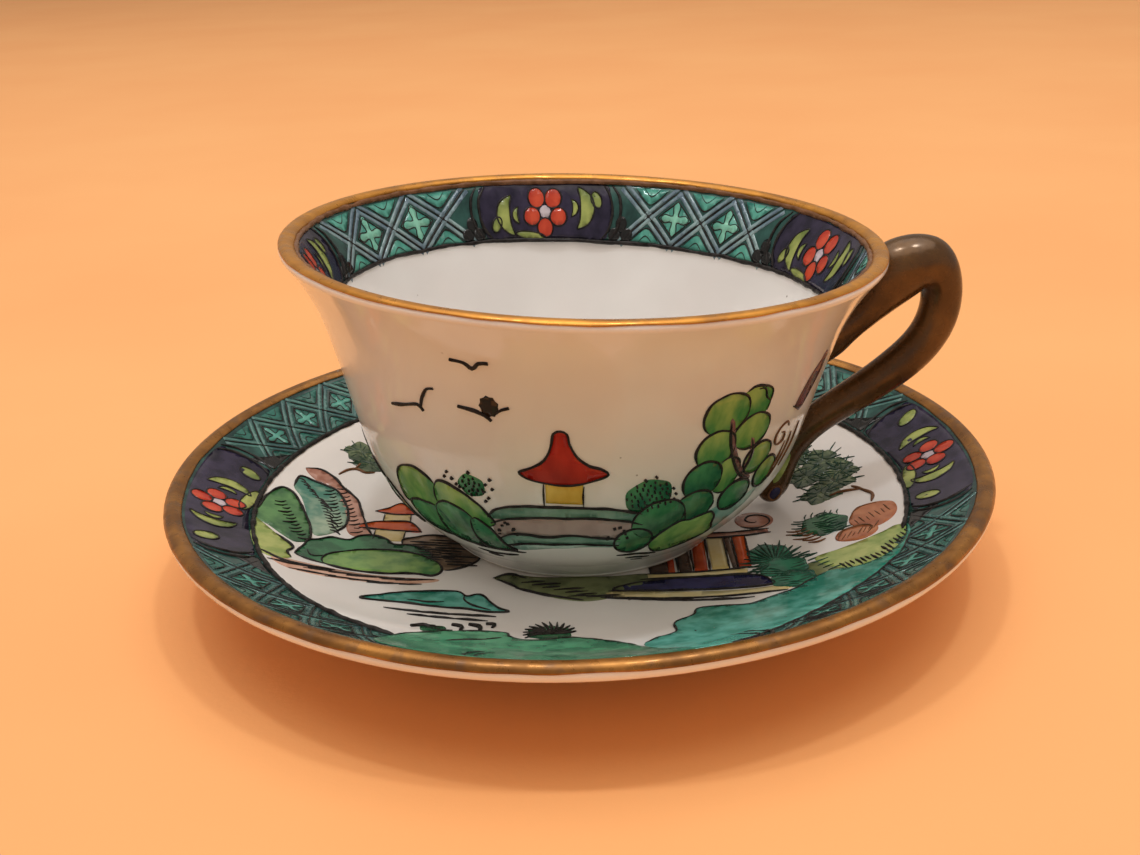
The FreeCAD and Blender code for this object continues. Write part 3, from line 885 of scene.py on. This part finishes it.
def cup_wash(name, finish, outlines, *how):
    painted("cup_" + name, "cup", cup_outside, finish, outlines, *how)


def cup_pen(name, ink, strokes, *how):
    penned("cup_" + name, "cup", cup_outside, ink, strokes, *how)


# the summer house
roof = [(-1.5, 15.5), (-1.95, 15.25), (-2.15, 14.2), (-2.65, 13), (-3.6, 12.3), (-4.5, 11.8), (-4, 11.35),
    (-3, 11.1), (-1.5, 10.95), (0, 11.1), (1, 11.45), (1.85, 11.95), (1.3, 12.45), (0.5, 12.7),
    (-0.3, 13.35), (-0.85, 14.35), (-1.05, 15.25)]
cup_wash("summer_house_roof", roof_red, [roof], wash_lift + 0.012, (0.7, 0.6))
cup_wash("summer_house_wall", wall_yellow, [strip((-1.25, 11.1), (-1.25, 9.3), 2.75)], wash_lift, (0.4, 0.9))
cup_pen("summer_house_lines", pen_line, [[(-2.75, 10.95), (-2.8, 10.0), (-2.75, 9.0)],
    [(0.2, 10.9), (0.15, 10.0), (0.2, 9.1)]], [roof], 0.105)

# the footbridge
rail_top = [(-6.7, 8.2), (-5, 8.7), (-2.7, 8.95), (0, 9.0), (2.7, 8.8), (4.8, 8.2)]
deck_back = [(-6, 7.4), (-4, 7.8), (-1.3, 8.0), (1.3, 8.0), (3.3, 7.7)]
deck_front = [(-6, 5.9), (-4.7, 6.1), (-2.7, 6.0), (-0.7, 6.3), (1.3, 6.0), (3.3, 5.7)]
waterline = [(-5.3, 5), (-3.3, 5.2), (0, 5.3), (2.7, 5.0)]
cup_wash("bridge_rails", grey_green, [[(-7.4, 7.3)] + rail_top + [(4.9, 7.3)] + deck_back[::-1],
    [(-7.0, 5.3)] + deck_front + [(3.2, 4.9)] + waterline[::-1] + [(-6.7, 4.7)]], wash_lift + 0.006,
    (0.5, 0.9))
cup_wash("bridge_deck", mauve, [[(-7.3, 6.9)] + deck_back + [(5, 7.2), (4.4, 5.8)] + deck_front[::-1]
    + [(-7.2, 5.4)]], wash_lift, (0.5, 0.6))
cup_wash("bridge_water", pale_turquoise, [[(-6.5, 4.8)] + waterline
    + [(3.0, 4.7), (0.6, 4.9), (-1.2, 4.75), (-2.6, 4.7), (-4.2, 4.4), (-5.8, 4.2)]], 0.03, (0.5, -0.2))
dots = []
for number in range(16):
    left = number % 2 == 0
    x = (-7.1 if left else 2.1) + 1.7 * (0.5 + 0.5 * math.sin(number * 2.3))
    y = 5.75 + 1.25 * (0.5 + 0.5 * math.cos(number * 1.7))
    dots.append([(x, y), (x + 0.22, y + 0.05)])
cup_pen("bridge_lines", pen_line, [[(-7.6, 7.3)] + rail_top, [(-7.5, 6.8)] + deck_back + [(5, 7.1)],
    [(-7.3, 5.2)] + deck_front, [(-6.9, 4.6)] + waterline + [(3.3, 4.9)]], (), 0.125)
cup_pen("bridge_dots", pen_line, dots, (), 0.15, 0.9)


def moved(outlines, shift, flip=1):
    """The same outlines further round the bowl, turned over left to right with a flip of -1."""
    return [[(flip * x + shift, y) for x, y in outline] for outline in outlines]


# the bushes on the left
light_lobes = [[(-17.3, 7.5), (-16.8, 8.7), (-16, 9.5), (-14.8, 9.9), (-13.8, 10), (-12.8, 9.6),
    (-12.2, 8.9), (-12.2, 7.2), (-14, 6.6), (-16.5, 6.2), (-17.4, 6.4)],
    [(-12.3, 8.8), (-11.7, 9.5), (-10.8, 9.6), (-9.7, 9.2), (-8.3, 8.4), (-7.5, 7.5), (-7.1, 6.7),
    (-8.6, 6.2), (-11, 6.8), (-12.4, 7.4)]]
dark_lobes = [[(-17, 5.5), (-16.5, 6.4), (-15.3, 6.9), (-14, 7), (-13, 7), (-12.1, 6.2), (-12, 4.3),
    (-15, 4.4), (-16.4, 4.8)], [(-13, 6.7), (-12.3, 7.5), (-11.2, 7.8), (-10, 7.5), (-9.2, 6.9),
    (-8.7, 5.8), (-8.8, 4.2), (-12.3, 4.1), (-13.1, 5)],
    [(-9.4, 6.7), (-8.6, 6.9), (-7.7, 6.2), (-7.3, 5.5), (-6.7, 4.5), (-6, 4.1), (-7.5, 4.0), (-9, 4),
    (-9.7, 5)]]
# the bushes and the tree on the right
tree_light = [oval((12.3, 16.2), 1.69, 1.63, 0, 10, 0.04), oval((10.1, 15.9), 1.88, 1.76),
    oval((13.0, 13.9), 1.76, 1.51), oval((9.9, 13.0), 1.69, 1.63), oval((14.7, 11.2), 1.56, 1.38),
    oval((16.5, 9.4), 1.38), oval((11.5, 10.5), 1.38, 1.56)]
tree_dark = [oval((9.4, 10.5), 1.69, 1.63), oval((13.3, 8.2), 1.69, 1.44), oval((9.2, 8.0), 1.88, 1.63, 10),
    oval((6.3, 7.4), 2.25, 1.88, 20), oval((4.5, 5.3), 1.69, 1.44)]
right_bush = [(6.2, 4.2), (6.2, 5), (7, 6), (8.3, 6.9), (9.3, 6.8), (10, 7), (11.3, 7.1), (12, 6.4),
    (12.2, 5.5), (12.8, 4.5), (12, 4), (8.7, 3.2), (7, 3.4)]
stippled = [oval((5.1, 9.8), 1.85, 1.45, 10, 12, 0.03), oval((-8.5, 9.9), 1.15, 0.95, 0, 10, 0.05)]
back = math.pi * outside_radius
far_light = moved(light_lobes, back - 4) + moved(light_lobes, back + 6, -1) + moved(light_lobes, -18)
far_dark = moved(dark_lobes, back - 4) + moved(dark_lobes, back + 6, -1) + moved(dark_lobes, -11.5)
shade_wash = [[(8.5, 6.0), (12, 7.5), (14.5, 7.2), (16.5, 8.3), (16.0, 6.5), (14.2, 5.0), (12.6, 4.2)]]
cup_wash("shade_wash", pale_turquoise, shade_wash, 0.025, (0.9, 1.0))
cup_wash("stippled_bushes", bush_green, stippled, wash_lift, (0.4, 0.9))
cup_wash("light_bushes", leaf_green, light_lobes + far_light + tree_light, wash_lift, (0.4, 0.9))
cup_wash("dark_bushes", bush_green, dark_lobes + far_dark + tree_dark, wash_lift + 0.014, (0.3, 0.9))
cup_wash("right_bush", leaf_green, [right_bush], wash_lift + 0.028, (0.55, 0.95))
left_group = light_lobes + dark_lobes
far_groups = [moved(left_group, back - 4), moved(left_group, back + 6, -1), moved(light_lobes, -18)
    + moved(dark_lobes, -11.5)]
bush_strokes = showing(left_group) + showing(tree_light + tree_dark + [right_bush])
for group in far_groups:
    bush_strokes += showing(group, left_group)
cup_pen("bush_outlines", pen_line, bush_strokes, [], 0.11)

stipple = []
stippling = ((40, (5.1, 9.8), 1.75, 1.35, 0.12), (16, (-8.5, 9.9), 1.0, 0.85, 0.1))
for count, centre, across, up, dash in stippling:
    for number in range(count):
        way = number * scatter_turn
        reach = math.sqrt((number + 0.5) / count)
        x = centre[0] + across * reach * math.cos(way)
        y = centre[1] + up * reach * math.sin(way)
        stipple.append([(x, y), (x + dash, y + 0.03)])
stray_dots = [(-10.6, 10.6), (-10.9, 10.1), (-10.2, 10.1), (-9.9, 9.7), (-9.6, 9.5), (-8.6, 10.95),
    (-6.9, 10.7), (-7.3, 10.2), (-6.8, 9.9), (-7.5, 9.5), (-7.2, 9.0), (-7.5, 8.7), (5.4, 11.4), (4.6, 11.2),
    (6.9, 10.2), (7.2, 9.7), (6.9, 9.0), (7.2, 9.2)]
for x, y in stray_dots:
    stipple.append([(x, y), (x + 0.12, y + 0.12)])
cup_pen("stipple", pen_line, stipple, [], 0.16, 0.9)

# the tree's trunk, its twigs, and the plants by the handle
cup_wash("tree_trunk", plum_brown, [[(10.5, 15.3), (10.9, 15.2), (11.5, 13.4), (12.5, 11.5), (13.5, 10.3),
    (14.5, 9.6), (14.2, 9.3), (13.0, 10.0), (12.0, 11.2), (11.1, 13.1)],
    [(13.1, 13.3), (13.4, 13.2), (13.9, 11.9), (13.7, 10.8), (13.3, 10.1), (13.0, 10.4), (13.4, 11.2),
    (13.5, 11.9)], [(20.2, 18.4), (19.6, 17.6), (18.7, 16.6), (17.9, 14.6), (18.2, 14.2), (19.1, 14.0),
    (20.3, 15.9), (20.6, 17.2)]], wash_lift + 0.04, (0.5, 0.9))
cup_pen("tree_twigs", pen_line, [[(10.6, 15.2), (11.1, 13.3), (12.1, 11.3), (13.1, 10.2), (14.3, 9.5)],
    [(13.2, 13.2), (13.7, 11.9), (13.5, 10.9), (13.1, 10.2)],
    [(12.3, 17.5), (12.9, 17.4), (13.4, 16.6), (13.9, 16.2)], [(8.8, 7.0), (8.4, 8.2)],
    [(17.6, 14.6), (18.4, 14.3), (19.4, 14.3)]], (), 0.13)
cup_pen("curl_leaf", brown_line, [[(18.1, 12.8), (17.6, 13.3), (16.9, 13.2), (16.4, 12.6), (16.5, 11.9),
    (17.1, 11.5), (17.8, 11.8), (17.7, 12.4), (17.2, 12.5)],
    [(18.4, 11.4), (18.2, 10.4), (17.7, 9.4), (17.4, 8.5)],
    [(19.1, 12.0), (19.0, 10.6), (18.4, 9.2), (17.9, 8.3)], [(20.2, 12.5), (20.1, 10.8), (19.3, 8.9)]], (),
    0.10)

# the birds
bird_strokes = [[(-8.2, 20.4), (-7.3, 20.3), (-6.8, 19.9), (-6.3, 20.4), (-5.7, 20.5)],
    [(-14.5, 15.2), (-13, 15.6), (-11.8, 15.9), (-11.4, 15.5)],
    [(-11.5, 15.9), (-11.2, 16.7), (-10.7, 17.4), (-10.1, 17.6)],
    [(-8.4, 16.6), (-7.3, 16.5), (-6.5, 16.2), (-6.1, 15.8)], [(-5.8, 16.4), (-5.3, 16.8), (-4.8, 17.0)]]
bird_bodies = [oval((-6.15, 16.95), 0.66, 0.82, 0, 18, 0.07)]
cup_wash("bird_bodies", soot_brown, bird_bodies, wash_lift, (0.5, 0.5), 0.5)
cup_pen("bird_lines", pen_line, bird_strokes + moved(bird_strokes, back + 3), (), 0.155, 0.8)
cup_pen("ground_lines", pen_line, [[(-11.8, 3.95), (-9, 3.8), (-5.3, 3.9)],
    [(-11, 3.25), (-9, 3.15), (-6.3, 3.4)], [(-10.2, 2.8), (-8.4, 2.75)],
    [(3.3, 3.5), (5.5, 3.35), (7.5, 2.9)], [(4.3, 2.9), (5.5, 2.8), (7, 2.5)], [(5.0, 2.4), (6.4, 2.2)],
    [(back - 14, 3.7), (back - 4, 3.5), (back + 9, 3.8)]], (), 0.09)


# ---------------------------------------------------------------- cup inside border
# The saucer's enamel border again, smaller and brighter, round the inside of the lip:
# trellis and four flower panels, ending below in an uneven black line.

inside_length = 2 * math.pi * inside_radius
inside_top = 0.45
inside_bottom = 5.3
inside_panels = (-36.0, -3.5, 27.0, 60.5)
inside_panel_half = 6.4
inside_panel_gap = 0.9
inside_trellis_pitch = 5.2
ring_points = 66


def inside_low_edge(along):
    angle = along / inside_radius
    return inside_bottom + 0.22 * math.sin(2 * angle + 0.6) + 0.10 * noise.noise(
        Vector((6 * math.cos(angle), 6 * math.sin(angle), 0.4)))


def inside_edges(along):
    return inside_top - 0.2, inside_low_edge(along)


def inside_border(along, share_depth):
    """Depth from the top edge, stretched to follow the hand-drawn lower edge."""
    stretched = (share_depth - inside_top) * (inside_low_edge(along) - inside_top)
    return cup_inside(along, inside_top + stretched / (inside_bottom - inside_top))


cup_cell = enamel("cup border turquoise", (0.10, 0.36, 0.28), (0.03, 0.16, 0.13), 0.5)
cup_strap = enamel("lilac grey enamel", (0.27, 0.38, 0.38), (0.13, 0.19, 0.24), 0.5)
cup_leaf = enamel("pale leaf turquoise", (0.27, 0.60, 0.45), (0.08, 0.34, 0.26), 0.3)
cup_trellis = (cup_cell, cup_strap, cup_leaf)
banded("cup_border_ground", "cup", cup_inside, border_dark, inside_length, inside_edges, 0.025, 7)
for number, middle in enumerate(inside_panels):
    following = inside_panels[(number + 1) % 4] + (inside_length if number == 3 else 0)
    start = middle + inside_panel_half + inside_panel_gap
    end = following - inside_panel_half - inside_panel_gap
    flower_panel(f"cup_panel_{number + 1}", "cup", inside_border, middle, inside_panel_half,
                 inside_top + 0.2, inside_bottom - 0.1, -1)
    trellis(f"cup_trellis_{number + 1}", "cup", inside_border, start, end, inside_top + 0.25, inside_bottom,
            round((end - start) / inside_trellis_pitch), cup_trellis)
clusters = []
for middle in inside_panels:
    for end in (-1, 1):
        foot = middle + end * (inside_panel_half + 1.0)
        clusters += [oval((foot - 0.6, 4.6), 0.62, 0.55), oval((foot + 0.6, 4.6), 0.62, 0.55),
                     oval((foot, 3.75), 0.55, 0.65)]
painted("cup_border_clusters", "cup", inside_border, black_enamel, clusters, top_lift, (0.5, 0.5), 0.6)


def inside_ring(depth):
    """A line right round the inside at one depth."""
    return [(k * inside_length / ring_points, depth) for k in range(ring_points)]


penned("cup_border_low_line", "cup", inside_border, pen_line, [], [inside_ring(inside_bottom)], 0.19)
# painted shade: the brown line round the top of the border is drawn wide, so it is both the real brown line
# and the shade along the inner edge of the lip
penned("cup_border_top_line_and_shade", "cup", inside_border, brown_line, [], [inside_ring(inside_top + 0.02)], 0.24)


# ---------------------------------------------------------------- cup handle and gilding
# The handle is the cup's own porcelain, painted all over with dull bronze gold and, on
# its tail, a green wash and a blue spot. Brighter gold is brushed round both rims, and
# rubbed thin where fingers and stacking wear it.


def bronze_gold(name, bright, dull, worn, rub, rough=0.32, metal=0.6):
    finish, tree, shader, place = new_finish(name)
    body = between(tree, cloudy(tree, place, 3.5, 3), dull, bright)
    streaks = ranged(tree, cloudy(tree, place, 0.6, 4, 0.45, 0.75), 0, 1, 0, 0.5)
    streaked = between(tree, streaks, body, dull)
    rubbed = ranged(tree, cloudy(tree, place, 1.6, 5, 0.56, 0.66), 0, 1, 0, rub)
    tree.links.new(between(tree, rubbed, streaked, worn), shader.inputs["Base Color"])
    tree.links.new(ranged(tree, rubbed, 0, 1, metal, 0.15), shader.inputs["Metallic"])
    tree.links.new(ranged(tree, cloudy(tree, place, 0.9, 3), 0, 1, rough * 0.75, rough * 1.4),
                   shader.inputs["Roughness"])
    waviness(tree, place, shader, 1.2, 0.012)
    return finish


refinish(handle, bronze_gold("bronze gold, handle", (0.135, 0.066, 0.020), (0.080, 0.038, 0.012),
    (0.04, 0.02, 0.012), 0.25, 0.24, 0.35))
rim_gold = bronze_gold("bronze gold, saucer rim", (0.40, 0.175, 0.034), (0.19, 0.078, 0.016),
    (0.10, 0.05, 0.025), 0.45)
lip_gold = bronze_gold("bright gold, cup lip", (0.66, 0.29, 0.040), (0.46, 0.19, 0.025), (0.20, 0.09, 0.03),
    0.25)

# painted on the tail of the handle: a green wash and a blue spot ringed in brown
handle_surface = glaze_surface(handle)
handle_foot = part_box("cup_handle")[0].z


def handle_middle(above, below):
    """The middle of the rod between two heights over its lowest point, in millimetres."""
    ring = [v.co for v in handle.data.vertices if above * mm <= v.co.z - handle_foot <= below * mm]
    return sum(ring, Vector()) / len(ring)


tail_tip = handle_middle(0.0, 2.2)
tail_neck = handle_middle(3.0, 4.6)


def tail_front(across, up):
    """across and up are millimetres from the tip, seen from the front of the cup."""
    nearby = tail_tip + Vector((across, -1.6, up)) * mm
    point, out = handle_surface.find_nearest(nearby)[:2]
    return point, out


run = (tail_neck - tail_tip) / mm
wash = oval((run.x * 0.9 - 0.35, run.z * 0.9), 0.50, 1.5, -28)
spot = oval((0.05, 0.15), 0.70, 0.85, -15)
painted("cup_tail_wash", "cup", tail_front, yellow_green, [wash], wash_lift, (0.5, 0.5), 0.5)
painted("cup_tail_spot", "cup", tail_front, platform_blue, [spot], second_lift, (0.5, 0.9), 0.5)
penned("cup_tail_lines", "cup", tail_front, brown_line, [], [spot], 0.10)

rim_section = Vector((saucer_rim - 0.65, 8.25))
rim_clearance = 1.6
gilt_lift = 0.08
rim_inner_edge = 154.0
rim_under_edge = 17.0
lip_section_radius = 23.0
lip_section_height = 23.9
lip_clearance = 1.5
lip_inner_edge = 174.0
lip_outer_edge = 32.0
brush_overlap = 12


def saucer_rim_chart(along, section_angle):
    """section_angle is degrees round the rim's section, from straight out, up and over."""
    angle = along / saucer_rim
    out = Vector((math.cos(angle), math.sin(angle), 0))
    turn = math.radians(section_angle)
    way = out * math.cos(turn) + Vector((0, 0, math.sin(turn)))
    centre = out * rim_section.x + Vector((0, 0, rim_section.y))
    return on_glaze(saucer_surface, centre + way * rim_clearance, -way)


def saucer_rim_edges(along):
    return rim_inner_edge + wobble(along, 7, 1.2), rim_under_edge + wobble(along, 9, 4.7)


def cup_lip_chart(along, section_angle):
    centre, lean = leaning(lip_section_height)
    angle = along / lip_section_radius
    out = lean @ Vector((math.cos(angle), math.sin(angle), 0))
    up = lean @ Vector((0, 0, 1))
    turn = math.radians(section_angle)
    way = out * math.cos(turn) + up * math.sin(turn)
    return on_glaze(bowl_surface, centre + out * lip_section_radius + way * lip_clearance, -way)


def cup_lip_edges(along):
    return lip_inner_edge + wobble(along, 7, 2.2), lip_outer_edge + wobble(along, 14, 6.1)


def closed_round(edges, length):
    """The same edges, eased so that the band's end meets its beginning."""
    def eased(along):
        share = max(0.0, (along - length + brush_overlap) / brush_overlap)
        here = edges(along)
        there = edges(0.0)
        return tuple(a + (b - a) * share for a, b in zip(here, there))
    return eased


rim_length = 2 * math.pi * saucer_rim
lip_length = 2 * math.pi * lip_section_radius
banded("saucer_rim_gilding", "saucer", saucer_rim_chart, rim_gold, rim_length,
    closed_round(saucer_rim_edges, rim_length), gilt_lift, 14)
banded("cup_lip_gilding", "cup", cup_lip_chart, lip_gold, lip_length,
    closed_round(cup_lip_edges, lip_length), gilt_lift, 12)


# ---------------------------------------------------------------- floor, light and camera
# A sheet of pale apricot paper, two small overhead lamps, and soft light from above.

sheet_size = 2.4
paper, paper_tree, paper_shader, paper_place = new_finish("pale apricot paper")
paper_colour = between(paper_tree, cloudy(paper_tree, paper_place, 60, 3), (0.90, 0.41, 0.145),
    (0.92, 0.44, 0.16))
paper_tree.links.new(paper_colour, paper_shader.inputs["Base Color"])
paper_shader.inputs["Roughness"].default_value = 0.75
waviness(paper_tree, paper_place, paper_shader, 0.4, 0.01)
floor_mesh = bpy.data.meshes.new("floor")
floor_sheet = bmesh.new()
bmesh.ops.create_grid(floor_sheet, x_segments=2, y_segments=2, size=sheet_size)
floor_sheet.to_mesh(floor_mesh)
floor_sheet.free()
floor = bpy.data.objects.new("floor", floor_mesh)
bpy.context.scene.collection.objects.link(floor)
floor_mesh.materials.append(paper)

room = bpy.data.worlds.new("room")
bpy.context.scene.world = room
room.use_nodes = True
room.node_tree.nodes["Background"].inputs["Color"].default_value = (1.0, 0.87, 0.76, 1)
room.node_tree.nodes["Background"].inputs["Strength"].default_value = 0.40
bpy.context.scene.view_settings.view_transform = "Standard"


def lamp(name, at, aim, size, power, colour):
    light = bpy.data.lights.new(name, "AREA")
    light.shape = "DISK"
    light.size = size
    light.energy = power
    light.color = colour
    holder = bpy.data.objects.new(name, light)
    bpy.context.scene.collection.objects.link(holder)
    holder.location = at
    holder.rotation_euler = (Vector(aim) - Vector(at)).to_track_quat("-Z", "Y").to_euler()


aim = (0, 0, 0.015)
lamp("soft overhead light", (0.0, 0.06, 0.75), aim, 1.1, 4.6, (1.0, 0.93, 0.86))
lamp("left lamp", (-0.11, -0.02, 0.62), aim, 0.045, 0.55, (0.88, 0.95, 1.0))
lamp("right lamp", (0.12, -0.02, 0.62), aim, 0.045, 0.55, (0.88, 0.95, 1.0))

camera_place = Vector((0.0012, -0.1025, 0.0524))
camera_aim = Vector((0, 0, 0.0089))
camera_roll = math.radians(-2.14)
camera_data = bpy.data.cameras.new("camera")
camera_data.lens = 42.17
camera_data.shift_x = -0.0066
camera_data.shift_y = 0.0215
camera_data.clip_start = 0.01
camera = bpy.data.objects.new("camera", camera_data)
bpy.context.scene.collection.objects.link(camera)
camera.location = camera_place
look = (camera_aim - camera_place).to_track_quat("-Z", "Y")
camera.rotation_euler = (look @ Quaternion((0, 0, 1), camera_roll)).to_euler()
bpy.context.scene.camera = camera
